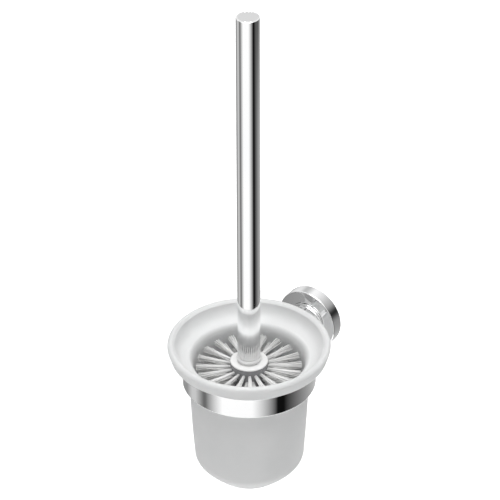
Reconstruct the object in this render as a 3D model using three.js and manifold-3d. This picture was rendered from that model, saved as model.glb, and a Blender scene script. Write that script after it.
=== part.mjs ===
import * as THREE from "three";
import { mergeVertices } from "three/addons/utils/BufferGeometryUtils.js";
import Module from "manifold-3d";

// A wall-held toilet brush set: a bracket with a ring, a glass cup that hangs in it, and a brush.
// Lengths are in millimetres. The origin is the centre of the bracket's back face, on the wall.
// +Y points into the wall and +Z up, and the ring's mid height is at zero.

const wasm = await Module();
wasm.setup();

// Fits
const seatGap = 0.3;
const cutOverrun = 1;

// Bracket on the wall
const rosetteRadius = 23.1;
const rosetteDepth = 9.2;
const rosetteWall = 1.6;
const rosetteFrontWall = 2;
const rosetteEdge = 0.6;
const plateThickness = 4.4;
const wallHoleSpacing = 26;
const wallHoleRadius = 2.6;
const wallHoleSinkRadius = 4.6;
const wallHoleSinkDepth = 2;
const setScrewRadius = 1.5;
const setScrewReach = 3;
const setScrewSocketDepth = 1.2;

// Arm and ring
const wallToCupAxis = 82.7;
const armRadius = 7;
const collarRadius = 14.1;
const collarStepRadius = 12.7;
const collarStep = 1;
const collarThickness = 2;
const rearScrewRadius = 3;
const rearScrewHeadRadius = 5.2;
const rearScrewHeadHeight = 2;
const rearScrewSocketDepth = 1.4;
const frontScrewRadius = 2.5;
const frontScrewHeadRadius = 5;
const frontScrewHeadHeight = 2.2;
const frontScrewSocketDepth = 1.5;
const screwTipGap = 5;
const ringOuterRadius = 46.6;
const ringWall = 2.8;
const ringHeight = 15;
const ringEdge = 0.5;
const cushionFlangeThickness = 1;
const cushionFlangeInset = 0.6;
const cushionLinerInset = 1;
const cushionWall = 1.2;

// Glass cup
const cupFootRadius = 38.7;
const cupWall = 2.6;
const cupBodyHeight = 75.5;
const cupKneeRadius = 11.6;
const cupDomeRadius = 100;
const cupKneeTurn = THREE.MathUtils.degToRad(40.8);
const cupBaseRadius = 19.4;
const bowlHeight = 14.7;
const lipOuterRadius = 56.7;
const lipInnerRadius = 51.5;
const lipRound = 2.5;
const lipCrestTurn = THREE.MathUtils.degToRad(125);
const lipInnerDrop = 1.45;
const lipSideHeight = 6.2;
const lipSideLean = 1.9;
const shelfDrop = 11.75;
const throatRoundWidth = 3.5;
const throatRoundHeight = 4.2;

// Brush head
const headLength = 94.3;
const flangeThickness = 1.2;
const flangeEdge = 0.4;
const headNeckRadius = 7.4;
const headNeckHeight = 1.9;
const hubRadius = 13.1;
const rodRadius = 6;
const rodLength = 72;
const studRadius = 3.7;
const studReachDown = 12;
const threadEngagement = 9;
const hubEndHeight = 9;
const hubEndRaise = 0.5;
const bristleClearance = 2.4;
const firstRowDrop = 5.3;
const rowPitch = 5.1;
const tuftRootRadius = 1.3;
const tuftTipRadius = 3;
const tuftSink = 1.2;

// Handle
const handleRadius = 8;
const handleWall = 1;
const handleLength = 266.1;
const handleEdge = 0.4;
const ferruleHeight = 1.8;
const ferruleRadius = 8.9;
const ferruleTopRadius = 8.1;
const insertLength = 16;
const plugLength = 6;

// Counts
const largeFacets = 48;
const roundFacets = 32;
const smallFacets = 16;
const hubFacets = 40;
const hubEndSteps = 4;
const outsideSteps = 4;
const insideSteps = 3;
const hexSides = 6;
const tuftSides = 4;
const tuftsPerRow = 20;
const tierRows = [
  [0, 1, 2, 3, 4],
  [5, 6, 7, 8],
  [9, 10, 11, 12],
];

// Shares, chosen by hand, of the sizes that they follow
const bodyTaperPower = 1.6;
const bowlBendShares = [0.83, 0.85];
const underlipBendShares = [0.5, 0.2];
const socketShare = 0.5;
const rearScrewReachShare = 0.375;

// Tufts on the rounded end of the head: how many, and how far they point down
const endRows = [
  { count: 20, tilt: THREE.MathUtils.degToRad(14) },
  { count: 16, tilt: THREE.MathUtils.degToRad(45) },
  { count: 6, tilt: THREE.MathUtils.degToRad(76) },
];

// Radii and levels that follow from the sizes
const ringInnerRadius = ringOuterRadius - ringWall;
const cupNeckRadius = ringInnerRadius - seatGap - cushionWall - seatGap;
const throatRadius = cupNeckRadius - cupWall;
const shelfRadius = throatRadius + throatRoundWidth;
const cupSeatZ = ringHeight / 2 + seatGap + cushionFlangeThickness + seatGap;
const rimZ = cupSeatZ + bowlHeight;
const kneeZ = cupSeatZ - cupBodyHeight;
const domeCentreRadius =
  cupFootRadius - cupKneeRadius + (cupKneeRadius - cupDomeRadius) * Math.cos(cupKneeTurn);
const domeCentreZ = kneeZ - (cupKneeRadius - cupDomeRadius) * Math.sin(cupKneeTurn);
const cupFloorZ = domeZ(cupDomeRadius - cupWall);
const brushFootZ = cupFloorZ + seatGap;
const flangeTopZ = brushFootZ + headLength;
const headNeckTopZ = flangeTopZ + headNeckHeight;
const ferruleZ = headNeckTopZ + seatGap;
const handleFootZ = ferruleZ + ferruleHeight + seatGap;
const handleTopZ = handleFootZ + handleLength;
const firstRowZ = flangeTopZ - firstRowDrop;
const hubTopZ = flangeTopZ - flangeThickness - seatGap;
const rowsFootZ = firstRowZ - tierRows.flat().length * rowPitch;
const hubEndZ = rowsFootZ + hubEndRaise;
const collarY = -rosetteDepth - seatGap;
const armRearY = collarY - collarThickness - seatGap;
const armFrontY = ringOuterRadius + seatGap - wallToCupAxis;
const armLength = armRearY - armFrontY;
const rearScrewReach = armLength * rearScrewReachShare;
const frontScrewReach = armLength - rearScrewReach - screwTipGap;

const chrome = new THREE.MeshStandardMaterial({ color: 0xd9dcdf, roughness: 0.07, metalness: 1 });
const zincSteel = new THREE.MeshStandardMaterial({ color: 0xa7abb0, roughness: 0.4, metalness: 1 });
const frostedGlass = new THREE.MeshStandardMaterial({
  color: 0xeff1f1,
  roughness: 0.55,
  metalness: 0,
});
const whitePlastic = new THREE.MeshStandardMaterial({
  color: 0xf4f4f2,
  roughness: 0.35,
  metalness: 0,
});
const bristlePlastic = new THREE.MeshStandardMaterial({
  color: 0xf7f7f5,
  roughness: 0.5,
  metalness: 0,
});
const clearLiner = new THREE.MeshStandardMaterial({
  color: 0xdde0e0,
  roughness: 0.45,
  metalness: 0,
});

// The level of a dome of this radius where it meets the flat of the cup's base.
function domeZ(radius) {
  return domeCentreZ - Math.sqrt(radius ** 2 - (cupBaseRadius - domeCentreRadius) ** 2);
}

// Points on an arc from one angle to another, in the plane of a profile.
function arc(centreRadius, centreZ, radius, from, to, steps) {
  return Array.from({ length: steps + 1 }, (_, i) => {
    const angle = from + ((to - from) * i) / steps;
    return [centreRadius + radius * Math.cos(angle), centreZ + radius * Math.sin(angle)];
  });
}

// Points on a curve that leaves one point towards a bend and arrives at the other.
function bent(start, bend, end, steps) {
  const curve = new THREE.QuadraticBezierCurve(
    new THREE.Vector2(...start),
    new THREE.Vector2(...bend),
    new THREE.Vector2(...end),
  );
  return curve.getPoints(steps).map((point) => [point.x, point.y]);
}

// A profile of [radius, place along Y] turned about the Y axis.
function turnedY(profile, facets) {
  const points = profile.map(([radius, place]) => new THREE.Vector2(radius, place));
  return new THREE.LatheGeometry(points, facets);
}

// A profile of [radius, level] turned about the Z axis.
function turnedZ(profile, facets) {
  return turnedY(profile, facets).rotateX(Math.PI / 2);
}

function rodProfile(radius, from, to) {
  return [
    [0, from],
    [radius, from],
    [radius, to],
    [0, to],
  ];
}

function solid(geometry) {
  const plain = geometry.clone();
  plain.deleteAttribute("normal");
  plain.deleteAttribute("uv");
  const merged = mergeVertices(plain);
  return new wasm.Manifold(
    new wasm.Mesh({
      numProp: 3,
      vertProperties: merged.attributes.position.array,
      triVerts: merged.index.array,
    }),
  );
}

function geometryOf(body) {
  const mesh = body.getMesh();
  const geometry = new THREE.BufferGeometry();
  geometry.setAttribute("position", new THREE.BufferAttribute(mesh.vertProperties, 3));
  geometry.setIndex(new THREE.BufferAttribute(mesh.triVerts, 1));
  geometry.computeVertexNormals();
  return geometry;
}

function cut(geometry, ...tools) {
  return geometryOf(tools.reduce((left, tool) => left.subtract(solid(tool)), solid(geometry)));
}

function piece(name, geometry, material) {
  const mesh = new THREE.Mesh(geometry, material);
  mesh.name = name;
  return mesh;
}

// The hexagonal hole for a key, from a screw's outer face at place, along Y.
function keyHole(headRadius, place, depth) {
  return turnedY(rodProfile(headRadius * socketShare, place - depth, place + depth), hexSides);
}

function wallPlate() {
  const radius = rosetteRadius - rosetteWall - seatGap;
  const wallHole = turnedY(
    [
      [0, -plateThickness - cutOverrun],
      [wallHoleSinkRadius, -plateThickness - cutOverrun],
      [wallHoleSinkRadius, -plateThickness],
      [wallHoleRadius, wallHoleSinkDepth - plateThickness],
      [wallHoleRadius, cutOverrun],
      [0, cutOverrun],
    ],
    smallFacets,
  );
  const left = wallHole.clone().translate(-wallHoleSpacing / 2, 0, 0);
  const right = wallHole.translate(wallHoleSpacing / 2, 0, 0);
  const screwHole = turnedZ(
    rodProfile(setScrewRadius + seatGap, -radius - cutOverrun, setScrewReach + seatGap - radius),
    smallFacets,
  ).translate(0, -plateThickness / 2, 0);
  const disc = turnedY(rodProfile(radius, -plateThickness, 0), largeFacets);
  return cut(disc, left, right, screwHole);
}

function rosette() {
  const inner = rosetteRadius - rosetteWall;
  const bore = rearScrewRadius + seatGap;
  const shell = turnedY(
    [
      [bore, -rosetteDepth],
      [rosetteRadius - rosetteEdge, -rosetteDepth],
      [rosetteRadius, rosetteEdge - rosetteDepth],
      [rosetteRadius, 0],
      [inner, 0],
      [inner, rosetteFrontWall - rosetteDepth],
      [bore, rosetteFrontWall - rosetteDepth],
      [bore, -rosetteDepth],
    ],
    largeFacets,
  );
  const screwHole = turnedZ(
    rodProfile(setScrewRadius + seatGap, -rosetteRadius - cutOverrun, cutOverrun - inner),
    smallFacets,
  ).translate(0, -plateThickness / 2, 0);
  return cut(shell, screwHole);
}

function setScrew() {
  const plateRadius = rosetteRadius - rosetteWall - seatGap;
  const foot = seatGap - rosetteRadius;
  const shank = turnedZ(rodProfile(setScrewRadius, foot, setScrewReach - plateRadius), smallFacets);
  const key = turnedZ(
    rodProfile(setScrewRadius * socketShare, foot - cutOverrun, foot + setScrewSocketDepth),
    hexSides,
  );
  return cut(shank, key).translate(0, -plateThickness / 2, 0);
}

function armCollar() {
  const bore = rearScrewRadius + seatGap;
  const front = collarY - collarThickness;
  return turnedY(
    [
      [bore, front],
      [collarStepRadius, front],
      [collarStepRadius, front + collarStep / 2],
      [collarRadius, collarY - collarStep],
      [collarRadius, collarY],
      [bore, collarY],
      [bore, front],
    ],
    roundFacets,
  );
}

// The arm ends in a saddle that follows the ring.
function arm() {
  const blank = turnedY(rodProfile(armRadius, armFrontY - armRadius, armRearY), roundFacets);
  const ringRoom = turnedZ(
    rodProfile(ringOuterRadius + seatGap, -ringHeight, ringHeight),
    largeFacets,
  ).translate(0, -wallToCupAxis, 0);
  const rearBore = turnedY(
    rodProfile(rearScrewRadius + seatGap, armRearY - rearScrewReach - seatGap, armRearY + cutOverrun),
    smallFacets,
  );
  const frontBore = turnedY(
    rodProfile(
      frontScrewRadius + seatGap,
      armFrontY - cutOverrun - armRadius,
      armFrontY + frontScrewReach + seatGap,
    ),
    smallFacets,
  );
  return cut(blank, ringRoom, rearBore, frontBore);
}

function rearScrew() {
  const headSeat = rosetteFrontWall + seatGap - rosetteDepth;
  const headTop = headSeat + rearScrewHeadHeight;
  const body = turnedY(
    [
      [0, armRearY - rearScrewReach],
      [rearScrewRadius, armRearY - rearScrewReach],
      [rearScrewRadius, headSeat],
      [rearScrewHeadRadius, headSeat],
      [rearScrewHeadRadius, headTop],
      [0, headTop],
    ],
    smallFacets,
  );
  return cut(body, keyHole(rearScrewHeadRadius, headTop, rearScrewSocketDepth));
}

// A countersunk profile along Y, its flat head at place, grown all round by room.
function sunkProfile(place, length, room) {
  return [
    [0, place],
    [frontScrewHeadRadius + room, place],
    [frontScrewRadius + room, place + frontScrewHeadHeight],
    [frontScrewRadius + room, place + length],
    [0, place + length],
  ];
}

function frontScrew() {
  const headY = ringInnerRadius + seatGap - wallToCupAxis;
  const length = ringWall + frontScrewReach;
  const body = turnedY(sunkProfile(headY, length, 0), smallFacets);
  return cut(body, keyHole(frontScrewHeadRadius, headY, frontScrewSocketDepth));
}

function holderRing() {
  const half = ringHeight / 2;
  const band = turnedZ(
    [
      [ringInnerRadius + ringEdge, -half],
      [ringOuterRadius - ringEdge, -half],
      [ringOuterRadius, ringEdge - half],
      [ringOuterRadius, half - ringEdge],
      [ringOuterRadius - ringEdge, half],
      [ringInnerRadius + ringEdge, half],
      [ringInnerRadius, half - ringEdge],
      [ringInnerRadius, ringEdge - half],
      [ringInnerRadius + ringEdge, -half],
    ],
    largeFacets,
  );
  const headY = ringInnerRadius + seatGap;
  const hole = turnedY(sunkProfile(headY, ringWall + cutOverrun, seatGap), smallFacets);
  const mouth = turnedY(
    rodProfile(frontScrewHeadRadius + seatGap, ringInnerRadius - cutOverrun, headY),
    smallFacets,
  );
  return cut(band, hole, mouth);
}

function ringCushion() {
  const inner = cupNeckRadius + seatGap;
  const linerOuter = ringInnerRadius - seatGap;
  const flangeZ = ringHeight / 2 + seatGap;
  return turnedZ(
    [
      [inner, cushionLinerInset - ringHeight / 2],
      [linerOuter, cushionLinerInset - ringHeight / 2],
      [linerOuter, flangeZ],
      [ringOuterRadius - cushionFlangeInset, flangeZ],
      [ringOuterRadius - cushionFlangeInset, flangeZ + cushionFlangeThickness],
      [inner, flangeZ + cushionFlangeThickness],
      [inner, cushionLinerInset - ringHeight / 2],
    ],
    largeFacets,
  );
}

// The radius of the cup's body at a level, which above the seat is its neck's.
function cupRadius(level) {
  const down = Math.max(cupSeatZ - level, 0) / cupBodyHeight;
  return cupNeckRadius - (cupNeckRadius - cupFootRadius) * down ** bodyTaperPower;
}

// The cup's body below the seat, from the middle of its base up, moved inwards by inset.
function cupBody(inset, steps) {
  const dome = cupDomeRadius - inset;
  const baseTurn = Math.acos((cupBaseRadius - domeCentreRadius) / dome);
  const taper = Array.from({ length: steps }, (_, i) => {
    const level = kneeZ + (cupBodyHeight * (i + 1)) / steps;
    return [cupRadius(level) - inset, level];
  });
  return [
    ...arc(domeCentreRadius, domeCentreZ, dome, -baseTurn, -cupKneeTurn, steps),
    ...arc(
      cupFootRadius - cupKneeRadius,
      kneeZ,
      cupKneeRadius - inset,
      -cupKneeTurn,
      0,
      steps - 1,
    ).slice(1),
    ...taper,
  ];
}

function glassCup() {
  const steps = outsideSteps;
  const lipLean = Math.atan2(lipSideLean, lipSideHeight);
  const lipUpper = [lipOuterRadius - lipRound, rimZ - lipRound];
  const lipLower = [lipUpper[0] - lipSideLean, lipUpper[1] - lipSideHeight];
  const lipUnder = [lipLower[0], lipLower[1] - lipRound];
  const seatEdge = [ringOuterRadius + seatGap, cupSeatZ];
  const underBend = [
    THREE.MathUtils.lerp(seatEdge[0], lipUnder[0], underlipBendShares[0]),
    THREE.MathUtils.lerp(lipUnder[1], seatEdge[1], underlipBendShares[1]),
  ];
  const lipEdge = [lipInnerRadius, rimZ - lipInnerDrop];
  const shelf = [shelfRadius, rimZ - shelfDrop];
  const bowlBend = [
    THREE.MathUtils.lerp(shelfRadius, lipInnerRadius, bowlBendShares[0]),
    THREE.MathUtils.lerp(lipEdge[1], shelf[1], bowlBendShares[1]),
  ];
  const throatZ = shelf[1] - throatRoundHeight;
  const outside = [
    ...cupBody(0, steps),
    seatEdge,
    ...bent(seatEdge, underBend, lipUnder, steps - 1).slice(1),
    ...arc(...lipLower, lipRound, -Math.PI / 2, -lipLean, steps - 1).slice(1),
    ...arc(...lipUpper, lipRound, -lipLean, lipCrestTurn, steps + 1),
  ];
  const inside = [
    ...cupBody(cupWall, insideSteps).filter(([, level]) => level < throatZ),
    [throatRadius, throatZ],
    ...bent([throatRadius, throatZ], [throatRadius, shelf[1]], shelf, steps).slice(1),
    ...bent(shelf, bowlBend, lipEdge, steps + 1).slice(1),
  ];
  return turnedZ([[0, outside[0][1]], ...outside, ...inside.reverse(), [0, cupFloorZ]], largeFacets);
}

function brushCore() {
  const bottom = flangeTopZ - flangeThickness - rodLength;
  const socket = studRadius + seatGap;
  const socketFoot = flangeTopZ - studReachDown;
  return turnedZ(
    [
      [0, bottom],
      [rodRadius, bottom],
      [rodRadius, flangeTopZ - flangeThickness],
      [hubRadius, flangeTopZ - flangeThickness],
      [hubRadius, flangeTopZ - flangeEdge],
      [hubRadius - flangeEdge, flangeTopZ],
      [headNeckRadius, flangeTopZ],
      [headNeckRadius, headNeckTopZ],
      [socket, headNeckTopZ],
      [socket, socketFoot],
      [0, socketFoot],
    ],
    roundFacets,
  );
}

function headStud() {
  const foot = flangeTopZ - studReachDown + seatGap;
  return turnedZ(rodProfile(studRadius, foot, handleFootZ + threadEngagement), smallFacets);
}

// A tuft is one thin stem that leaves the hub and grows wider towards its flat tip.
function tuft(angle, rootRadius, rootZ, tilt, length) {
  const whole = tuftSink + length;
  return new THREE.CylinderGeometry(tuftTipRadius, tuftRootRadius, whole, tuftSides)
    .rotateY(Math.PI / tuftSides)
    .translate(0, whole / 2 - tuftSink, 0)
    .rotateZ(-Math.PI / 2)
    .rotateY(tilt)
    .translate(rootRadius, 0, rootZ)
    .rotateZ(angle);
}

function tuftRow(count, phase, rootRadius, rootZ, tilt, length) {
  return Array.from({ length: count }, (_, i) =>
    tuft(((i + phase) / count) * 2 * Math.PI, rootRadius, rootZ, tilt, length),
  );
}

// The hub is turned by half a facet, so that each tuft leaves the middle of one.
function fused(hub, tufts) {
  hub.rotateZ(Math.PI / hubFacets);
  return geometryOf(wasm.Manifold.union([solid(hub), ...tufts.map(solid)]));
}

// A slice of the hub with its rows of tufts, every second row standing between the one above.
function bristleTier(rows) {
  const sliceTopZ = (row) => firstRowZ + (0.5 - row) * rowPitch;
  const top = rows[0] === 0 ? hubTopZ : sliceTopZ(rows[0]);
  const bottom = sliceTopZ(rows.at(-1) + 1) + seatGap;
  const bore = rodRadius + seatGap;
  const hub = turnedZ(
    [
      [bore, bottom],
      [hubRadius, bottom],
      [hubRadius, top],
      [bore, top],
      [bore, bottom],
    ],
    hubFacets,
  );
  const tufts = rows.map((row) => {
    const level = firstRowZ - row * rowPitch;
    const length = cupRadius(level) - cupWall - bristleClearance - hubRadius;
    return tuftRow(tuftsPerRow, (row % 2) / 2, hubRadius, level, 0, length);
  });
  return fused(hub, tufts.flat());
}

// How far a tuft runs from its root on the rounded end before it comes close to the glass.
function endTuftLength(radius, level, tilt) {
  const tipHalf = tuftTipRadius * Math.cos(Math.PI / tuftSides);
  const toFloor = (level - brushFootZ - tipHalf * Math.cos(tilt)) / Math.sin(tilt);
  const out = radius - domeCentreRadius;
  const down = domeCentreZ - level;
  const along = out * Math.cos(tilt) + down * Math.sin(tilt);
  const reach = cupDomeRadius - cupWall - bristleClearance;
  const toDome = Math.sqrt(along ** 2 - out ** 2 - down ** 2 + reach ** 2) - along;
  return Math.min(toFloor, toDome);
}

function bristleEnd() {
  const top = rowsFootZ + rowPitch / 2;
  const bore = rodRadius + seatGap;
  const boreFoot = flangeTopZ - flangeThickness - rodLength - seatGap;
  const cap = Array.from({ length: hubEndSteps }, (_, i) => {
    const turn = (i / hubEndSteps) * (Math.PI / 2);
    return [hubRadius * Math.cos(turn), hubEndZ - hubEndHeight * Math.sin(turn)];
  });
  const hub = turnedZ(
    [
      [0, hubEndZ - hubEndHeight],
      ...cap.reverse(),
      [hubRadius, top],
      [bore, top],
      [bore, boreFoot],
      [0, boreFoot],
    ],
    hubFacets,
  );
  const tufts = endRows.map(({ count, tilt }, row) => {
    const radius = hubRadius * Math.cos(tilt);
    const level = hubEndZ - hubEndHeight * Math.sin(tilt);
    const length = endTuftLength(radius, level, tilt);
    return tuftRow(count, ((row + 1) % 2) / 2, radius, level, tilt, length);
  });
  return fused(hub, tufts.flat());
}

function handleFerrule() {
  const bore = studRadius + seatGap;
  return turnedZ(
    [
      [bore, ferruleZ],
      [ferruleRadius, ferruleZ],
      [ferruleTopRadius, ferruleZ + ferruleHeight],
      [bore, ferruleZ + ferruleHeight],
      [bore, ferruleZ],
    ],
    roundFacets,
  );
}

function handleTube() {
  const inner = handleRadius - handleWall;
  return turnedZ(
    [
      [inner, handleFootZ],
      [handleRadius - handleEdge, handleFootZ],
      [handleRadius, handleFootZ + handleEdge],
      [handleRadius, handleTopZ - handleEdge],
      [handleRadius - handleEdge, handleTopZ],
      [inner, handleTopZ],
      [inner, handleFootZ],
    ],
    roundFacets,
  );
}

function handleInsert() {
  const outer = handleRadius - handleWall - seatGap;
  const bore = studRadius + seatGap;
  return turnedZ(
    [
      [bore, handleFootZ],
      [outer, handleFootZ],
      [outer, handleFootZ + insertLength],
      [bore, handleFootZ + insertLength],
      [bore, handleFootZ],
    ],
    roundFacets,
  );
}

function handleTopPlug() {
  const radius = handleRadius - handleWall - seatGap;
  return turnedZ(rodProfile(radius, handleTopZ - plugLength, handleTopZ), roundFacets);
}

const bracket = new THREE.Group();
bracket.add(
  piece("wall_plate", wallPlate(), zincSteel),
  piece("rosette", rosette(), chrome),
  piece("rosette_set_screw", setScrew(), zincSteel),
  piece("arm_collar", armCollar(), chrome),
  piece("arm", arm(), chrome),
  piece("arm_rear_screw", rearScrew(), zincSteel),
  piece("arm_front_screw", frontScrew(), zincSteel),
);

const cupHolder = new THREE.Group();
cupHolder.add(
  piece("holder_ring", holderRing(), chrome),
  piece("ring_cushion", ringCushion(), clearLiner),
  piece("glass_cup", glassCup(), frostedGlass),
);

const brush = new THREE.Group();
brush.add(
  piece("brush_core", brushCore(), whitePlastic),
  piece("head_stud", headStud(), zincSteel),
  ...tierRows.map((rows, i) => piece(`bristle_tier_${i + 1}`, bristleTier(rows), bristlePlastic)),
  piece("bristle_tier_4", bristleEnd(), bristlePlastic),
);

const handle = new THREE.Group();
handle.add(
  piece("handle_ferrule", handleFerrule(), whitePlastic),
  piece("handle_tube", handleTube(), chrome),
  piece("handle_insert", handleInsert(), zincSteel),
  piece("handle_top_plug", handleTopPlug(), chrome),
);

const cupAxis = new THREE.Group();
cupAxis.position.y = -wallToCupAxis;
cupAxis.add(cupHolder, brush, handle);

const group = new THREE.Group();
group.add(bracket, cupAxis);

export default group;
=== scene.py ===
import math
import random

import bmesh
import bpy
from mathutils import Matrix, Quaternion, Vector

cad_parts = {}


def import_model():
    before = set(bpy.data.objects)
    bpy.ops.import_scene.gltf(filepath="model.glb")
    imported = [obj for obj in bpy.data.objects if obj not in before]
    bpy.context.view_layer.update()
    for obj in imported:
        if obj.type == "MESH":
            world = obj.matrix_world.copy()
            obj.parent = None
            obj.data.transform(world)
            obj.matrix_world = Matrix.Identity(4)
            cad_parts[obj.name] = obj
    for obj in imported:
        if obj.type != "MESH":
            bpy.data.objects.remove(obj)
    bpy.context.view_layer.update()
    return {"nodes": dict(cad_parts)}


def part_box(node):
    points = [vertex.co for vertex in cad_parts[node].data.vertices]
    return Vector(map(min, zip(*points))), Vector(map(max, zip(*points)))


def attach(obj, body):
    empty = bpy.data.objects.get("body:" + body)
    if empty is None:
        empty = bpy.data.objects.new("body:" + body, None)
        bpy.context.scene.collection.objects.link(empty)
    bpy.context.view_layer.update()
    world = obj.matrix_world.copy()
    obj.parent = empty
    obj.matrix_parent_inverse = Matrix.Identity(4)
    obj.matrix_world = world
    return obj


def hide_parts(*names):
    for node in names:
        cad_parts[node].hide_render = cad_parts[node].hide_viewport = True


# A wall-held toilet brush set: a chrome bracket and ring, a frosted glass cup and a brush.
# Lengths are in metres, and values written in millimetres are times MM.
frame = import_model()
nodes = frame["nodes"]

MM = 0.001

# Places and sizes read from the frame
cup_low, cup_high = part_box("glass_cup")
ring_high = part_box("holder_ring")[1]
rosette_low, rosette_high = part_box("rosette")
collar_low, collar_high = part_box("arm_collar")
arm_low, arm_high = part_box("arm")
core_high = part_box("brush_core")[1]
stud_low, stud_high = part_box("head_stud")
ferrule_low, ferrule_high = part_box("handle_ferrule")
tube_low, tube_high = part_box("handle_tube")
plug_low, plug_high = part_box("handle_top_plug")
liner_low, liner_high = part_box("ring_cushion")
plate_low, plate_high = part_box("wall_plate")
rear_screw_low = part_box("arm_rear_screw")[0]
front_screw_low, front_screw_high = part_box("arm_front_screw")

AXIS_Y = (cup_low.y + cup_high.y) / 2
RIM_Z = cup_high.z
LIP_RADIUS = cup_high.x
RING_RADIUS = ring_high.x
RING_HALF = ring_high.z
ROSETTE_RADIUS = rosette_high.x
HANDLE_RADIUS = tube_high.x
CUP_AXIS = Vector((0, AXIS_Y, 0))
WALL_CENTRE = Vector((0, 0, 0))

# The gap between fitted pieces, and how finely round things are made
SEAT_GAP = 0.3 * MM
CORNER_STEPS = 6
FINE_FACETS = 192
ROUND_FACETS = 96
SMALL_FACETS = 40
SHARP_ANGLE = math.radians(32)

# How close to a corner its supporting points stand, and the longest run that goes without them
SUPPORT_MARGIN = 0.25 * MM
PLAIN_RUN = 4 * SUPPORT_MARGIN


# Outlines

def arc(centre, radius, start, end, steps):
    """Points of (radius, height) on an arc, from one angle to another."""
    turns = [start + (end - start) * i / steps for i in range(steps + 1)]
    return [(centre[0] + radius * math.cos(t), centre[1] + radius * math.sin(t)) for t in turns]


def bent(start, bend, end, steps):
    """Points on a curve that leaves start towards bend and arrives at end."""
    a, b, c = Vector(start), Vector(bend), Vector(end)
    shares = [i / steps for i in range(steps + 1)]
    return [tuple(a * (1 - t) ** 2 + b * 2 * t * (1 - t) + c * t ** 2) for t in shares]


def mix(a, b, share):
    """The value that lies a share of the way from a to b."""
    return a + (b - a) * share


def rounded(corners, closed=True):
    """An outline from corners of (radius, height, fillet), each sharp or rounded by its fillet."""
    points = []
    count = len(corners)
    for i, (x, y, fillet) in enumerate(corners):
        corner = Vector((x, y))
        at_end = not closed and i in (0, count - 1)
        if fillet == 0 or at_end:
            points.append((x, y))
            continue
        back = (Vector(corners[i - 1][:2]) - corner).normalized()
        on = (Vector(corners[(i + 1) % count][:2]) - corner).normalized()
        half = back.angle(on) / 2
        centre = corner + (back + on).normalized() * fillet / math.sin(half)
        first = corner + back * fillet / math.tan(half) - centre
        last = corner + on * fillet / math.tan(half) - centre
        start = math.atan2(first.y, first.x)
        sweep = math.atan2(last.y, last.x) - start
        sweep = (sweep + math.pi) % (2 * math.pi) - math.pi
        points += arc(centre, fillet, start, start + sweep, CORNER_STEPS)
    return points


def supported(points, closed=True):
    """The outline with a point close to each end of its long runs, which keeps them flat."""
    held = []
    pairs = list(zip(points, points[1:] + points[:1]))
    for start, end in pairs if closed else pairs[:-1]:
        a, b = Vector(start), Vector(end)
        held.append(start)
        if (b - a).length > PLAIN_RUN:
            along = (b - a).normalized() * SUPPORT_MARGIN
            held += [tuple(a + along), tuple(b - along)]
    return held if closed else held + [points[-1]]


# Meshes

def placed(name, vertices, faces):
    """A new piece in the scene, from its vertices and faces."""
    mesh = bpy.data.meshes.new(name)
    mesh.from_pydata(vertices, [], faces)
    piece = bpy.data.objects.new(name, mesh)
    bpy.context.scene.collection.objects.link(piece)
    return piece


def made(name, vertices, faces):
    """A new piece with its faces put right and shaded."""
    piece = placed(name, vertices, faces)
    shaded(piece)
    return piece


def shaded(piece):
    """Faces pointing out and shaded smooth, but for the hard edges."""
    shape = bmesh.new()
    shape.from_mesh(piece.data)
    bmesh.ops.recalc_face_normals(shape, faces=shape.faces)
    shape.to_mesh(piece.data)
    shape.free()
    piece.data.shade_smooth()
    piece.data.set_sharp_from_angle(angle=SHARP_ANGLE)


def turned(name, points, facets, centre=CUP_AXIS, along="Z", closed=True):
    """A piece turned about the Z or Y axis from points of (radius, place along the axis)."""
    vertices = []
    rings = []
    for radius, place in points:
        ring = []
        for i in range(facets if radius > 0 else 1):
            turn = 2 * math.pi * i / facets
            across, up = radius * math.sin(turn), -radius * math.cos(turn)
            spot = (across, up, place) if along == "Z" else (across, place, up)
            ring.append(len(vertices))
            vertices.append(centre + Vector(spot))
        rings.append(ring)
    faces = []
    pairs = list(zip(rings, rings[1:] + rings[:1]))
    for lower, upper in pairs if closed else pairs[:-1]:
        for i in range(facets):
            j = (i + 1) % facets
            corners = [lower[i % len(lower)], lower[j % len(lower)]]
            corners += [upper[j % len(upper)], upper[i % len(upper)]]
            face = list(dict.fromkeys(corners))
            if len(face) > 2:
                faces.append(face)
    return made(name, vertices, faces)


def cut_from(piece, *cutters):
    """Takes the cutters' shapes out of a piece, and removes them."""
    for cutter in cutters:
        cut = piece.modifiers.new("cut", "BOOLEAN")
        cut.operation = "DIFFERENCE"
        cut.solver = "EXACT"
        cut.object = cutter
    bpy.context.view_layer.update()
    cut_piece = piece.evaluated_get(bpy.context.evaluated_depsgraph_get())
    mesh = bpy.data.meshes.new_from_object(cut_piece)
    piece.modifiers.clear()
    piece.data = mesh
    for cutter in cutters:
        bpy.data.objects.remove(cutter)
    shaded(piece)


def rod(name, radius, start, end, facets, centre=CUP_AXIS, along="Z"):
    """A plain round bar along the Z or Y axis."""
    points = [(0, start), (radius, start), (radius, end), (0, end)]
    return turned(name, points, facets, centre, along, closed=False)


# Materials

def material(name):
    """A new material, its node tree and its main shader."""
    new = bpy.data.materials.new(name)
    new.use_nodes = True
    return new, new.node_tree, new.node_tree.nodes["Principled BSDF"]


def node(tree, kind, inputs=None, **settings):
    """A new node with values for its inputs and its settings."""
    added = tree.nodes.new(kind)
    for key, value in settings.items():
        setattr(added, key, value)
    for key, value in (inputs or {}).items():
        added.inputs[key].default_value = value
    return added


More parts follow.
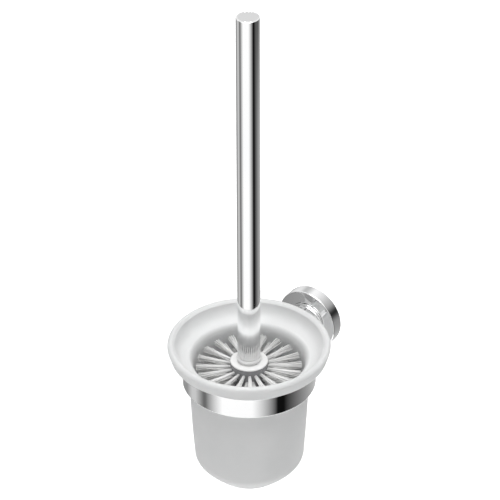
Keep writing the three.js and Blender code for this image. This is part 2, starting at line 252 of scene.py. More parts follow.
def noise(tree, scale, detail=3.0, stretch=(1, 1, 1)):
    """Noise in the piece's own metres, scale waves to the metre, stretched if asked."""
    place = node(tree, "ShaderNodeTexCoord")
    mapping = node(tree, "ShaderNodeMapping", {"Scale": stretch})
    texture = node(tree, "ShaderNodeTexNoise", {"Scale": scale, "Detail": detail})
    tree.links.new(place.outputs["Object"], mapping.inputs["Vector"])
    tree.links.new(mapping.outputs["Vector"], texture.inputs["Vector"])
    return texture.outputs["Fac"]


def ranged(tree, source, low, high, spread=(0.3, 0.7)):
    """A value that goes from low to high as its source goes through the spread."""
    span = node(tree, "ShaderNodeMapRange")
    span.inputs["From Min"].default_value, span.inputs["From Max"].default_value = spread
    span.inputs["To Min"].default_value, span.inputs["To Max"].default_value = low, high
    tree.links.new(source, span.inputs["Value"])
    return span.outputs["Result"]


def tinted(tree, source, dark, light, spread=(0.35, 0.65)):
    """A colour between two, by its source."""
    ramp = node(tree, "ShaderNodeValToRGB")
    ramp.color_ramp.elements[0].position, ramp.color_ramp.elements[1].position = spread
    ramp.color_ramp.elements[0].color = (*dark, 1)
    ramp.color_ramp.elements[1].color = (*light, 1)
    tree.links.new(source, ramp.inputs["Fac"])
    return ramp.outputs["Color"]


def bumped(tree, shader, source, height):
    """Raises the surface by up to a height, by its source."""
    bump = node(tree, "ShaderNodeBump", {"Distance": height, "Strength": 1.0})
    tree.links.new(source, bump.inputs["Height"])
    tree.links.new(bump.outputs["Normal"], shader.inputs["Normal"])


def finish(
    name, grain, roughness, clouds, tones, depth=0, detail=3.0, stretch=(1, 1, 1), sockets=None
):
    """A material whose roughness and skin follow a fine grain, and its colour wide clouds."""
    new, tree, shader = material(name)
    for socket, value in (sockets or {}).items():
        shader.inputs[socket].default_value = value
    fine = noise(tree, grain, detail, stretch)
    tree.links.new(ranged(tree, fine, *roughness), shader.inputs["Roughness"])
    tree.links.new(tinted(tree, noise(tree, clouds), *tones), shader.inputs["Base Color"])
    if depth:
        bumped(tree, shader, fine, depth)
    return new


STRAND_ROUGHNESS = 0.42


def bristle_material():
    """Nylon strands, each a little lighter or darker than the next."""
    new, tree, shader = material("nylon_bristle")
    shader.inputs["Roughness"].default_value = STRAND_ROUGHNESS
    strand = node(tree, "ShaderNodeNewGeometry").outputs["Random Per Island"]
    tone = tinted(tree, strand, dark=(0.87, 0.87, 0.86), light=(0.98, 0.98, 0.975), spread=(0, 1))
    tree.links.new(tone, shader.inputs["Base Color"])
    return new


# Polished plate: nearly a mirror, with the faint haze that wiping leaves
CHROME = finish(
    "polished_chrome",
    grain=55,
    detail=5.0,
    stretch=(1, 1, 0.25),
    roughness=(0.03, 0.055),
    clouds=14,
    tones=((0.93, 0.935, 0.94), (0.955, 0.955, 0.955)),
    sockets={"Metallic": 1},
)

# Zinc plated steel: dull, cloudy and a little grainy
ZINC = finish(
    "zinc_plate",
    grain=900,
    detail=4.0,
    depth=0.02 * MM,
    roughness=(0.3, 0.46),
    clouds=60,
    tones=((0.56, 0.58, 0.6), (0.68, 0.7, 0.71)),
    sockets={"Metallic": 1},
)

# Satin frosted glass: white and cloudy, it lets a little light through
GLASS = finish(
    "frosted_glass",
    grain=1400,
    detail=4.0,
    depth=0.01 * MM,
    roughness=(0.48, 0.56),
    clouds=30,
    tones=((0.9, 0.91, 0.91), (0.945, 0.95, 0.95)),
    sockets={"IOR": 1.5, "Transmission Weight": 0.2, "Sheen Weight": 0.6, "Sheen Roughness": 0.4},
)

# White moulded plastic with a fine skin
PLASTIC = finish(
    "white_plastic",
    grain=1200,
    depth=0.008 * MM,
    roughness=(0.28, 0.36),
    clouds=80,
    tones=((0.9, 0.9, 0.89), (0.94, 0.94, 0.935)),
)

# Grey plastic for the hub: painted shade, darker than the white brush, standing for the shade under
# the disc and among the tufts
HUB_SHADE_PAINT = finish(
    "hub_shade_paint",
    grain=1000,
    depth=0.008 * MM,
    roughness=(0.4, 0.5),
    clouds=90,
    tones=((0.28, 0.28, 0.29), (0.34, 0.34, 0.35)),
)

# Soft clear plastic, slightly milky
LINER = finish(
    "soft_liner",
    grain=300,
    roughness=(0.35, 0.5),
    clouds=300,
    tones=((0.8, 0.81, 0.81), (0.88, 0.89, 0.89)),
    sockets={"Transmission Weight": 0.3},
)

BRISTLE = bristle_material()
FINISHES = {
    "chrome": CHROME,
    "zinc_steel": ZINC,
    "frosted_glass": GLASS,
    "white_plastic": PLASTIC,
    "bristle": BRISTLE,
    "clear_liner": LINER,
}


def dressed(piece, slot, body, replaced, paint=None):
    """Gives a piece its slot's finish or a paint and its body, and hides the CAD node that it stands
    for.
    """
    piece.data.materials.clear()
    piece.data.materials.append(paint or FINISHES[slot])
    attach(piece, body)
    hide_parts(replaced)


# Camera, at the photo's angle

CAMERA_AZIMUTH = math.radians(34)
CAMERA_ELEVATION = math.radians(33)
CAMERA_ROLL = math.radians(-0.202)
CAMERA_DISTANCE = 2034.44 * MM
CAMERA_LENS = 216
CAMERA_SENSOR = 36
AIM_RIGHT = 0.921 * MM
AIM_HEIGHT = 99.607 * MM


def camera():
    """The camera, aimed at a point close to the cup's axis."""
    data = bpy.data.cameras.new("camera")
    data.lens = CAMERA_LENS
    data.sensor_width = CAMERA_SENSOR
    eye = bpy.data.objects.new("camera", data)
    bpy.context.scene.collection.objects.link(eye)
    right = Vector((math.cos(CAMERA_AZIMUTH), math.sin(CAMERA_AZIMUTH), 0))
    away = Vector((math.sin(CAMERA_AZIMUTH), -math.cos(CAMERA_AZIMUTH), 0))
    back = away * math.cos(CAMERA_ELEVATION) + Vector((0, 0, math.sin(CAMERA_ELEVATION)))
    aim = CUP_AXIS + right * AIM_RIGHT + Vector((0, 0, AIM_HEIGHT))
    eye.location = aim + back * CAMERA_DISTANCE
    level = (-back).to_track_quat("-Z", "Y")
    eye.rotation_mode = "QUATERNION"
    eye.rotation_quaternion = level @ Quaternion((0, 0, 1), CAMERA_ROLL)
    bpy.context.scene.camera = eye


# Stage: a pale floor, a tent of cloth that only reflections show, a lamp and a plain world

WHITE = (1, 1, 1, 1)
FLOOR_Z = -0.6
FLOOR_HALF = 6
FLOOR_GREY = 0.86
FLOOR_ROUGHNESS = 0.9
FLOOR_GLOW = 0.5
LAMP_TOWARDS = (0.05, -0.08, 1)
LAMP_STRENGTH = 2.3
LAMP_SPREAD = math.radians(42)
WORLD_LIGHT = 0.3
TENT_RADIUS = 0.55
TENT_TOP = 0.62
TENT_COLUMNS = 96
WHITE_CLOTH, BRIGHT_CLOTH, GREY_CLOTH = 1.05, 0.9, 0.6
GREY_CARD, DARK_CARD, DARK_GAP, SEAM = 0.3, 0.15, 0.005, 0.4
# What hangs round the tent: where each begins and ends, in degrees to the right of the camera, and its
# grey. Between two of them the light changes evenly.
TENT_CLOTHS = [
    (-180, -178, SEAM),
    (-172, -166, BRIGHT_CLOTH),
    (-150, -130, GREY_CARD),
    (-112, -102, GREY_CLOTH),
    (-82, -78, DARK_CARD),
    (-45, 5, WHITE_CLOTH),
    (48, 60, DARK_GAP),
    (160, 166, GREY_CLOTH),
    (178, 180, SEAM),
]
# How much brighter the cloth is at its top
TENT_RISE = 1.9
# The dark card hung on it: its middle and reach, up and round, and the share of light it leaves
CARD_HEIGHT, CARD_HEIGHT_REACH = 0.065, 0.22
CARD_TURN, CARD_TURN_REACH = 106, 45
CARD_SHARE = 0.08


def seen_share(tree):
    """1 for a ray from the camera, a reflection or through glass, and 0 for light on a surface."""
    path = node(tree, "ShaderNodeLightPath")
    first = node(tree, "ShaderNodeMath", operation="MAXIMUM")
    second = node(tree, "ShaderNodeMath", operation="MAXIMUM")
    tree.links.new(path.outputs["Is Camera Ray"], first.inputs[0])
    tree.links.new(path.outputs["Is Glossy Ray"], first.inputs[1])
    tree.links.new(first.outputs[0], second.inputs[0])
    tree.links.new(path.outputs["Is Transmission Ray"], second.inputs[1])
    return second.outputs[0]


def world():
    """White where it is seen, and a plain grey as light."""
    sky = bpy.data.worlds.new("plain_world")
    bpy.context.scene.world = sky
    sky.use_nodes = True
    tree = sky.node_tree
    background = tree.nodes["Background"]
    background.inputs["Color"].default_value = WHITE
    strength = ranged(tree, seen_share(tree), WORLD_LIGHT, 1.0, (0, 1))
    tree.links.new(strength, background.inputs["Strength"])


def floor():
    """A pale floor that keeps the object's shadow and is white where it is seen."""
    sides = ((-1, -1), (1, -1), (1, 1), (-1, 1))
    corners = [(x * FLOOR_HALF, y * FLOOR_HALF, FLOOR_Z) for x, y in sides]
    ground = made("floor", corners, [(0, 1, 2, 3)])
    paint, tree, shader = material("floor_paint")
    shader.inputs["Roughness"].default_value = FLOOR_ROUGHNESS
    shader.inputs["Base Color"].default_value = (FLOOR_GREY, FLOOR_GREY, FLOOR_GREY, 1)
    shader.inputs["Emission Color"].default_value = WHITE
    glow = ranged(tree, seen_share(tree), 0, FLOOR_GLOW, (0, 1))
    tree.links.new(glow, shader.inputs["Emission Strength"])
    ground.data.materials.append(paint)


def multiplied(tree, first, second):
    """The product of two values."""
    product = node(tree, "ShaderNodeMath", operation="MULTIPLY")
    tree.links.new(first, product.inputs[0])
    tree.links.new(second, product.inputs[1])
    return product.outputs[0]


def hump(tree, source, middle, reach):
    """1 where the source is at its middle, falling softly to 0 at the reach and beyond."""
    away = node(tree, "ShaderNodeMath", {1: middle}, operation="SUBTRACT")
    size = node(tree, "ShaderNodeMath", operation="ABSOLUTE")
    tree.links.new(source, away.inputs[0])
    tree.links.new(away.outputs[0], size.inputs[0])
    soft = node(tree, "ShaderNodeMapRange", interpolation_type="SMOOTHSTEP")
    soft.inputs["From Max"].default_value = reach
    soft.inputs["To Min"].default_value, soft.inputs["To Max"].default_value = 1, 0
    tree.links.new(size.outputs[0], soft.inputs["Value"])
    return soft.outputs["Result"]


def only_in_reflections(card):
    """Hides a stage piece from all but glossy rays."""
    card.visible_camera = False
    card.visible_diffuse = False
    card.visible_transmission = False
    card.visible_volume_scatter = False
    card.visible_shadow = False


def turn_share(degrees):
    """How far an angle from the camera lies along the gradient round the tent, from 0 to 1."""
    return (degrees + 180) / 360


def cloth_greys(tree, around):
    """The tent's greys, by the gradient round it."""
    ramp = node(tree, "ShaderNodeValToRGB")
    stops = ramp.color_ramp.elements
    ready = len(stops)
    edges = [(degrees, grey) for begin, end, grey in TENT_CLOTHS for degrees in (begin, end)]
    for i, (degrees, grey) in enumerate(edges):
        stop = stops[i] if i < ready else stops.new(turn_share(degrees))
        stop.position = turn_share(degrees)
        stop.color = (grey, grey, grey, 1)
    tree.links.new(around, ramp.inputs["Fac"])
    return ramp.outputs["Color"]


def cloth_strength(tree, around, height):
    """The light of the tent: more towards its top, and little where the dark card hangs."""
    rise = ranged(tree, height, 1, TENT_RISE, (0, TENT_TOP))
    level = hump(tree, height, CARD_HEIGHT, CARD_HEIGHT_REACH)
    turn = hump(tree, around, turn_share(CARD_TURN), CARD_TURN_REACH / 360)
    card = ranged(tree, multiplied(tree, level, turn), 1, CARD_SHARE, (0, 1))
    return multiplied(tree, rise, card)


def tent_cloth():
    """A cloth that glows."""
    cloth, tree, shader = material("tent_cloth")
    place = node(tree, "ShaderNodeTexCoord").outputs["Object"]
    gradient = node(tree, "ShaderNodeTexGradient", gradient_type="RADIAL")
    spot = node(tree, "ShaderNodeSeparateXYZ")
    glow = node(tree, "ShaderNodeEmission")
    output = tree.nodes["Material Output"]
    around, height = gradient.outputs["Fac"], spot.outputs["Z"]
    tree.links.new(place, gradient.inputs["Vector"])
    tree.links.new(place, spot.inputs["Vector"])
    tree.links.new(cloth_greys(tree, around), glow.inputs["Color"])
    tree.links.new(cloth_strength(tree, around, height), glow.inputs["Strength"])
    tree.links.new(glow.outputs["Emission"], output.inputs["Surface"])
    tree.nodes.remove(shader)
    return cloth


def tent():
    """The round tent about the cup's axis. Its first column is on the camera's side."""
    vertices, faces = [], []
    for i in range(TENT_COLUMNS):
        turn = 2 * math.pi * i / TENT_COLUMNS
        spot = (TENT_RADIUS * math.cos(turn), TENT_RADIUS * math.sin(turn))
        vertices += [(*spot, FLOOR_Z), (*spot, TENT_TOP)]
        j = (i + 1) % TENT_COLUMNS
        faces.append((2 * i, 2 * j, 2 * j + 1, 2 * i + 1))
    cloth = made("tent", vertices, faces)
    cloth.location = CUP_AXIS
    cloth.rotation_euler.z = CAMERA_AZIMUTH - math.pi / 2
    cloth.data.materials.append(tent_cloth())
    only_in_reflections(cloth)


def lamp():
    """A wide soft lamp far away, nearly overhead, which isn't seen through glass."""
    data = bpy.data.lights.new("lamp_above", "SUN")
    data.energy = LAMP_STRENGTH
    data.angle = LAMP_SPREAD
    light = bpy.data.objects.new("lamp_above", data)
    bpy.context.scene.collection.objects.link(light)
    light.rotation_mode = "QUATERNION"
    light.rotation_quaternion = (-Vector(LAMP_TOWARDS)).to_track_quat("-Z", "Y")
    light.visible_transmission = False


# Bracket: plate, rosette, collar, arm, ring and liner

ROSETTE_WALL = 1.6 * MM
ROSETTE_FRONT_WALL = 2 * MM
ROSETTE_EDGE = 0.7 * MM
SET_SCREW_HOLE_RADIUS = 1.8 * MM
# Where the set screw's hole starts and ends, down from the middle, of the rosette's radius
SET_SCREW_HOLE_SHARES = (1.1, 0.8)
WALL_HOLE_SPACING = 26 * MM
WALL_HOLE_RADIUS = 2.6 * MM
WALL_HOLE_SINK_RADIUS = 4.6 * MM
WALL_HOLE_SINK = 2 * MM
PLATE_EDGE = 0.3 * MM
ARM_SCREW_BORE = 3.3 * MM
COLLAR_STEP_RADIUS = 12.7 * MM
COLLAR_STEP = 1 * MM
COLLAR_EDGE = 0.3 * MM
RING_WALL = 2.8 * MM
RING_EDGE = 0.6 * MM
RING_HOLE_RADIUS = 5.3 * MM
FRONT_SCREW_BORE = 2.8 * MM
FRONT_SCREW_SINK = 2.2 * MM
LINER_FLANGE_EDGE = 0.3 * MM
LINER_WALL = 1.2 * MM
LINER_FLANGE = 1 * MM


def set_screw_hole():
    """The cutter for the set screw, up from under the rosette through its wall into the plate."""
    place = Vector((0, (plate_low.y + plate_high.y) / 2, 0))
    foot, top = (-ROSETTE_RADIUS * share for share in SET_SCREW_HOLE_SHARES)
    return rod("hole", SET_SCREW_HOLE_RADIUS, foot, top, SMALL_FACETS, place)


def rosette():
    """The hollow drum that covers the plate."""
    inner = ROSETTE_RADIUS - ROSETTE_WALL
    front = rosette_low.y
    behind = front + ROSETTE_FRONT_WALL
    outline = rounded([
        (ARM_SCREW_BORE, front, 0),
        (ROSETTE_RADIUS, front, ROSETTE_EDGE),
        (ROSETTE_RADIUS, rosette_high.y, PLATE_EDGE),
        (inner, rosette_high.y, PLATE_EDGE),
        (inner, behind, ROSETTE_EDGE),
        (ARM_SCREW_BORE, behind, 0),
    ])
    drum = turned("rosette_drum", supported(outline), FINE_FACETS, WALL_CENTRE, "Y")
    cut_from(drum, set_screw_hole())
    dressed(drum, "chrome", "bracket", "rosette")


def wall_plate():
    """The plate, with two countersunk holes for the wall screws."""
    radius = plate_high.x
    outline = rounded([
        (0, plate_low.y, 0),
        (radius, plate_low.y, PLATE_EDGE),
        (radius, plate_high.y, PLATE_EDGE),
        (0, plate_high.y, 0),
    ], closed=False)
    held = supported(outline, False)
    plate = turned("wall_plate_disc", held, ROUND_FACETS, WALL_CENTRE, "Y", False)
    sunk = [
        (0, plate_low.y - PLATE_EDGE),
        (WALL_HOLE_SINK_RADIUS, plate_low.y - PLATE_EDGE),
        (WALL_HOLE_SINK_RADIUS, plate_low.y),
        (WALL_HOLE_RADIUS, plate_low.y + WALL_HOLE_SINK),
        (WALL_HOLE_RADIUS, plate_high.y + PLATE_EDGE),
        (0, plate_high.y + PLATE_EDGE),
    ]
    holes = [
        turned("hole", sunk, SMALL_FACETS, Vector((side * WALL_HOLE_SPACING / 2, 0, 0)), "Y", False)
        for side in (-1, 1)
    ]
    cut_from(plate, *holes, set_screw_hole())
    dressed(plate, "zinc_steel", "bracket", "wall_plate")


def arm_collar():
    """The stepped foot of the arm."""
    front, back = collar_low.y, collar_high.y
    outline = rounded([
        (ARM_SCREW_BORE, front, 0),
        (COLLAR_STEP_RADIUS, front, COLLAR_EDGE),
        (COLLAR_STEP_RADIUS, back - COLLAR_STEP, 0),
        (collar_high.x, back - COLLAR_STEP, COLLAR_EDGE),
        (collar_high.x, back, 0),
        (ARM_SCREW_BORE, back, 0),
    ])
    collar = turned("arm_collar_step", supported(outline), FINE_FACETS, WALL_CENTRE, "Y")
    dressed(collar, "chrome", "bracket", "arm_collar")


def arm():
    """The bar, hollowed at its end to fit the ring, with a bore for a screw at each end."""
    outline = rounded([
        (0, arm_low.y - RING_HALF, 0),
        (arm_high.x, arm_low.y - RING_HALF, 0),
        (arm_high.x, arm_high.y, COLLAR_EDGE),
        (0, arm_high.y, 0),
    ], closed=False)
    bar = turned("arm_bar", supported(outline, False), ROUND_FACETS, WALL_CENTRE, "Y", False)
    room = rod("hole", RING_RADIUS + SEAT_GAP, -2 * RING_HALF, 2 * RING_HALF, FINE_FACETS)
    rear_foot, rear_end = rear_screw_low.y - SEAT_GAP, arm_high.y + RING_WALL
    rear = rod("hole", ARM_SCREW_BORE, rear_foot, rear_end, SMALL_FACETS, WALL_CENTRE, "Y")
    front_foot, front_end = arm_low.y - RING_HALF, front_screw_high.y + SEAT_GAP
    front = rod("hole", FRONT_SCREW_BORE, front_foot, front_end, SMALL_FACETS, WALL_CENTRE, "Y")
    cut_from(bar, room, rear, front)
    dressed(bar, "chrome", "bracket", "arm")


def ring():
    """The band that carries the cup, with a countersunk hole for the arm's screw."""
    inner = RING_RADIUS - RING_WALL
    outline = rounded([
        (inner, -RING_HALF, RING_EDGE),
        (RING_RADIUS, -RING_HALF, RING_EDGE),
        (RING_RADIUS, RING_HALF, RING_EDGE),
        (inner, RING_HALF, RING_EDGE),
    ])
    band = turned("ring_band", supported(outline), FINE_FACETS)
    head = front_screw_low.y
    sunk = [
        (0, head - RING_WALL),
        (RING_HOLE_RADIUS, head - RING_WALL),
        (RING_HOLE_RADIUS, head),
        (FRONT_SCREW_BORE, head + FRONT_SCREW_SINK),
        (FRONT_SCREW_BORE, head + 2 * RING_WALL),
        (0, head + 2 * RING_WALL),
    ]
    cut_from(band, turned("hole", sunk, SMALL_FACETS, WALL_CENTRE, "Y", False))
    dressed(band, "chrome", "bracket", "holder_ring")


def liner():
    """The soft sleeve in the ring, with the flange that the cup sits on."""
    outer = RING_RADIUS - RING_WALL - SEAT_GAP
    inner = outer - LINER_WALL
    flange = liner_high.z - LINER_FLANGE
    outline = rounded([
        (inner, liner_low.z, 0),
        (outer, liner_low.z, LINER_FLANGE_EDGE),
        (outer, flange, 0),
        (liner_high.x, flange, LINER_FLANGE_EDGE),
        (liner_high.x, liner_high.z, LINER_FLANGE_EDGE),
        (inner, liner_high.z, LINER_FLANGE_EDGE),
    ])
    sleeve = turned("ring_liner", supported(outline), FINE_FACETS)
    dressed(sleeve, "clear_liner", "bracket", "ring_cushion")


# Glass cup

CUP_NECK_RADIUS = RING_RADIUS - RING_WALL - LINER_WALL - 2 * SEAT_GAP
CUP_FOOT_RADIUS = 38.7 * MM
CUP_WALL = 2.6 * MM
CUP_BODY_HEIGHT = 75.5 * MM
CUP_KNEE_RADIUS = 11.6 * MM
CUP_KNEE_TURN = math.radians(40.8)
CUP_DOME_RADIUS = 100 * MM
CUP_BASE_RADIUS = 19.4 * MM
LIP_INNER_RADIUS = 51.5 * MM
LIP_ROUND = 2.5 * MM
LIP_CREST_TURN = math.radians(125)
LIP_INNER_DROP = 1.45 * MM
LIP_EDGE_ROUND = 0.6 * MM
LIP_SIDE_HEIGHT = 6.2 * MM
LIP_SIDE_LEAN = 1.9 * MM
SHELF_DROP = 11.75 * MM
THROAT_ROUND_WIDTH = 3.5 * MM
THROAT_ROUND_HEIGHT = 6.4 * MM
THROAT_MARGIN = 0.6 * MM
TAPER_POWER = 1.6
UNDER_BEND_SHARES = (0.5, 0.2)
BOWL_BEND_SHARES = (0.83, 0.85)
CURVE_STEPS = 18

CUP_SEAT_Z = liner_high.z + SEAT_GAP
CUP_KNEE_Z = CUP_SEAT_Z - CUP_BODY_HEIGHT
CUP_KNEE_OUT = CUP_FOOT_RADIUS - CUP_KNEE_RADIUS
CUP_DOME_OUT = CUP_KNEE_OUT + (CUP_KNEE_RADIUS - CUP_DOME_RADIUS) * math.cos(CUP_KNEE_TURN)
CUP_DOME_Z = CUP_KNEE_Z - (CUP_KNEE_RADIUS - CUP_DOME_RADIUS) * math.sin(CUP_KNEE_TURN)
LIP_EDGE = (LIP_INNER_RADIUS, RIM_Z - LIP_INNER_DROP)


def dome_z(radius):
    """The level where a dome of this radius meets the flat of the cup's base."""
    return CUP_DOME_Z - math.sqrt(radius ** 2 - (CUP_BASE_RADIUS - CUP_DOME_OUT) ** 2)


CUP_FLOOR_Z = dome_z(CUP_DOME_RADIUS - CUP_WALL)


def cup_radius(level):
    """The radius of the cup's body at a level, which above the seat is its neck's."""
    down = max(CUP_SEAT_Z - level, 0) / CUP_BODY_HEIGHT
    return CUP_NECK_RADIUS - (CUP_NECK_RADIUS - CUP_FOOT_RADIUS) * down ** TAPER_POWER


def cup_body(inset):
    """The cup's wall from its base up to the seat, moved inwards by inset."""
    dome = CUP_DOME_RADIUS - inset
    base_turn = math.acos((CUP_BASE_RADIUS - CUP_DOME_OUT) / dome)
    points = arc((CUP_DOME_OUT, CUP_DOME_Z), dome, -base_turn, -CUP_KNEE_TURN, CURVE_STEPS)
    knee = (CUP_KNEE_OUT, CUP_KNEE_Z)
    points += arc(knee, CUP_KNEE_RADIUS - inset, -CUP_KNEE_TURN, 0, CURVE_STEPS // 2)[1:]
    for i in range(1, CURVE_STEPS + 1):
        level = CUP_KNEE_Z + CUP_BODY_HEIGHT * i / CURVE_STEPS
        points.append((cup_radius(level) - inset, level))
    return points


def cup_outside():
    """The cup's outside, from the middle of its foot up to the crest of its lip."""
    lean = math.atan2(LIP_SIDE_LEAN, LIP_SIDE_HEIGHT)
    upper = (LIP_RADIUS - LIP_ROUND, RIM_Z - LIP_ROUND)
    lower = (upper[0] - LIP_SIDE_LEAN, upper[1] - LIP_SIDE_HEIGHT)
    under = (lower[0], lower[1] - LIP_ROUND)
    seat_edge = (RING_RADIUS + SEAT_GAP, CUP_SEAT_Z)
    bend = (
        mix(seat_edge[0], under[0], UNDER_BEND_SHARES[0]),
        mix(under[1], seat_edge[1], UNDER_BEND_SHARES[1]),
    )
    points = [(0, cup_low.z), *cup_body(0), seat_edge]
    points += bent(seat_edge, bend, under, CURVE_STEPS)[1:]
    points += arc(lower, LIP_ROUND, -math.pi / 2, -lean, CORNER_STEPS)[1:]
    points += arc(upper, LIP_ROUND, -lean, LIP_CREST_TURN, 3 * CORNER_STEPS)
    return points


def cup_inside():
    """The cup's inside, from its lip down through the bowl and the throat to its floor."""
    throat = CUP_NECK_RADIUS - CUP_WALL
    shelf = (throat + THROAT_ROUND_WIDTH, RIM_Z - SHELF_DROP)
    throat_z = shelf[1] - THROAT_ROUND_HEIGHT
    bend = (
        mix(shelf[0], LIP_INNER_RADIUS, BOWL_BEND_SHARES[0]),
        mix(LIP_EDGE[1], shelf[1], BOWL_BEND_SHARES[1]),
    )
    points = bent(LIP_EDGE, bend, shelf, 2 * CURVE_STEPS)[1:]
    points += bent(shelf, (throat, shelf[1]), (throat, throat_z), CURVE_STEPS)[1:]
    points += [p for p in reversed(cup_body(CUP_WALL)) if p[1] < throat_z - THROAT_MARGIN]
    points += [(0, CUP_FLOOR_Z)]
    return points


def cup():
    """The glass, with a small round where its lip ends."""
    outside, inside = cup_outside(), cup_inside()
    corners = [(*outside[-1], 0), (*LIP_EDGE, LIP_EDGE_ROUND), (*inside[0], 0)]
    edge = rounded(corners, closed=False)[1:-1]
    outline = supported(outside + edge + inside, closed=False)
    glass = turned("cup_glass", outline, FINE_FACETS, closed=False)
    dressed(glass, "frosted_glass", "cup", "glass_cup")


# Brush head: hub, disc, stud and tufts

FLANGE_THICKNESS = 1.2 * MM
FLANGE_EDGE = 0.4 * MM
HEAD_NECK_RADIUS = 7.4 * MM
HEAD_NECK_HEIGHT = 1.9 * MM
STUD_RADIUS = 3.7 * MM
STUD_GROOVE = 0.45 * MM
STUD_PITCH = 1.25 * MM
STUD_STEPS = 24
HUB_RADIUS = core_high.x
HUB_END_HEIGHT = 9 * MM
HUB_END_RAISE = 0.5 * MM
HUB_EDGE = 0.25 * MM
HUB_GROOVE = 0.8 * MM
FIRST_ROW_DROP = 5.3 * MM
ROW_PITCH = 5.1 * MM
TUFTS_PER_ROW = 20
# The first row of each tier, and the number of rows in all
TIER_TOP_ROWS = (0, 5, 9, 13)
BRISTLE_CLEARANCE = 2.4 * MM
STRANDS_PER_TUFT = 18
STRAND_RADIUS = 0.33 * MM
STRAND_SIDES = 4
# A strand runs from its root to its middle, and on to its tip
STRAND_RUNS = 2
STRAND_SINK = 0.8 * MM
TUFT_ROOT_RADIUS = 1.15 * MM
TUFT_TIP_RADIUS = 2.5 * MM
TUFT_WAIST_SHARE = 0.12
TIP_JITTER = 0.25 * MM
LENGTH_JITTER = 0.35 * MM
# Tufts in each row on the rounded end, and how many degrees they point down
END_ROWS = ((20, 14), (16, 30), (14, 46), (10, 62), (6, 78))
GOLDEN_TURN = math.pi * (3 - math.sqrt(5))
DRAW_SEED = 7

SOCKET_RADIUS = STUD_RADIUS + SEAT_GAP
FLANGE_TOP_Z = core_high.z - HEAD_NECK_HEIGHT
FLANGE_FOOT_Z = FLANGE_TOP_Z - FLANGE_THICKNESS
FIRST_ROW_Z = FLANGE_TOP_Z - FIRST_ROW_DROP
HUB_TOP_Z = FLANGE_FOOT_Z - SEAT_GAP
HUB_END_Z = FIRST_ROW_Z - TIER_TOP_ROWS[-1] * ROW_PITCH + HUB_END_RAISE


def hub():
    """The round-ended hub that carries the tufts, with the stud's socket, painted grey as the shade
    under the disc and among the tufts.
    """
    socket_foot = stud_low.z - SEAT_GAP
    turns = [math.pi / 2 * i / CURVE_STEPS for i in range(CURVE_STEPS)]
    end = [(HUB_RADIUS * math.sin(t), HUB_END_Z - HUB_END_HEIGHT * math.cos(t)) for t in turns]
    side = rounded([
        (HUB_RADIUS, HUB_END_Z, 0),
        (HUB_RADIUS, HUB_TOP_Z, HUB_EDGE),
        (SOCKET_RADIUS, HUB_TOP_Z, 0),
        (SOCKET_RADIUS, socket_foot, 0),
        (0, socket_foot, 0),
    ], closed=False)
    core = turned("brush_hub", supported(end + side, False), ROUND_FACETS, closed=False)
    dressed(core, "bristle", "brush_head", "brush_core", paint=HUB_SHADE_PAINT)


def disc():
    """The white disc on the hub, with its neck, and a groove under it."""
    outline = rounded([
        (SOCKET_RADIUS, HUB_TOP_Z, 0),
        (HUB_RADIUS - HUB_GROOVE, HUB_TOP_Z, 0),
        (HUB_RADIUS - HUB_GROOVE, FLANGE_FOOT_Z, 0),
        (HUB_RADIUS, FLANGE_FOOT_Z, FLANGE_EDGE),
        (HUB_RADIUS, FLANGE_TOP_Z, FLANGE_EDGE),
        (HEAD_NECK_RADIUS, FLANGE_TOP_Z, HUB_EDGE),
        (HEAD_NECK_RADIUS, core_high.z, HUB_EDGE),
        (SOCKET_RADIUS, core_high.z, HUB_EDGE),
    ])
    flange = turned("brush_disc", supported(outline), ROUND_FACETS)
    dressed(flange, "white_plastic", "brush_head", "brush_core")


def stud():
    """A stud whose thread climbs one pitch in each turn."""
    low, high = stud_low.z, stud_high.z
    levels = int((high - low) / STUD_PITCH * STUD_STEPS)
    points = [(STUD_RADIUS, low + (high - low) * i / levels) for i in range(levels + 1)]
    thread = turned("stud_thread", [(0, low), *points, (0, high)], SMALL_FACETS, closed=False)
    for vertex in thread.data.vertices:
        flat = Vector((vertex.co.x, vertex.co.y - AXIS_Y, 0))
        if flat.length > STUD_RADIUS / 2:
            turn = math.atan2(flat.y, flat.x) / (2 * math.pi)
            wave = abs(((vertex.co.z - low) / STUD_PITCH - turn) % 1 - 0.5) * 2
            radius = STUD_RADIUS - STUD_GROOVE * wave
            vertex.co.x = flat.x / flat.length * radius
            vertex.co.y = AXIS_Y + flat.y / flat.length * radius
    dressed(thread, "zinc_steel", "brush_head", "head_stud")


def strands(name, vertices, faces):
    """A piece of strands. Each has its sides first, shaded round, and then its two flat ends."""
    piece = placed(name, vertices, faces)
    sides = STRAND_SIDES * STRAND_RUNS
    for i, face in enumerate(piece.data.polygons):
        face.use_smooth = i % (sides + 2) < sides
    return piece


def add_strand(vertices, faces, line):
    """One strand along a line of points, closed at both ends."""
    first = len(vertices)
    for i, point in enumerate(line):
        ahead = line[min(i + 1, len(line) - 1)] - line[max(i - 1, 0)]
        turn = Vector((0, 0, 1)).rotation_difference(ahead)
        for side in range(STRAND_SIDES):
            angle = 2 * math.pi * side / STRAND_SIDES
            offset = Vector((math.cos(angle), math.sin(angle), 0)) * STRAND_RADIUS
            vertices.append(point + turn @ offset)
    for i in range(len(line) - 1):
        for side in range(STRAND_SIDES):
            low = first + i * STRAND_SIDES
            a, b = low + side, low + (side + 1) % STRAND_SIDES
            faces.append((a, b, b + STRAND_SIDES, a + STRAND_SIDES))
    faces.append(tuple(first + side for side in reversed(range(STRAND_SIDES))))
    last = first + (len(line) - 1) * STRAND_SIDES
    faces.append(tuple(last + side for side in range(STRAND_SIDES)))


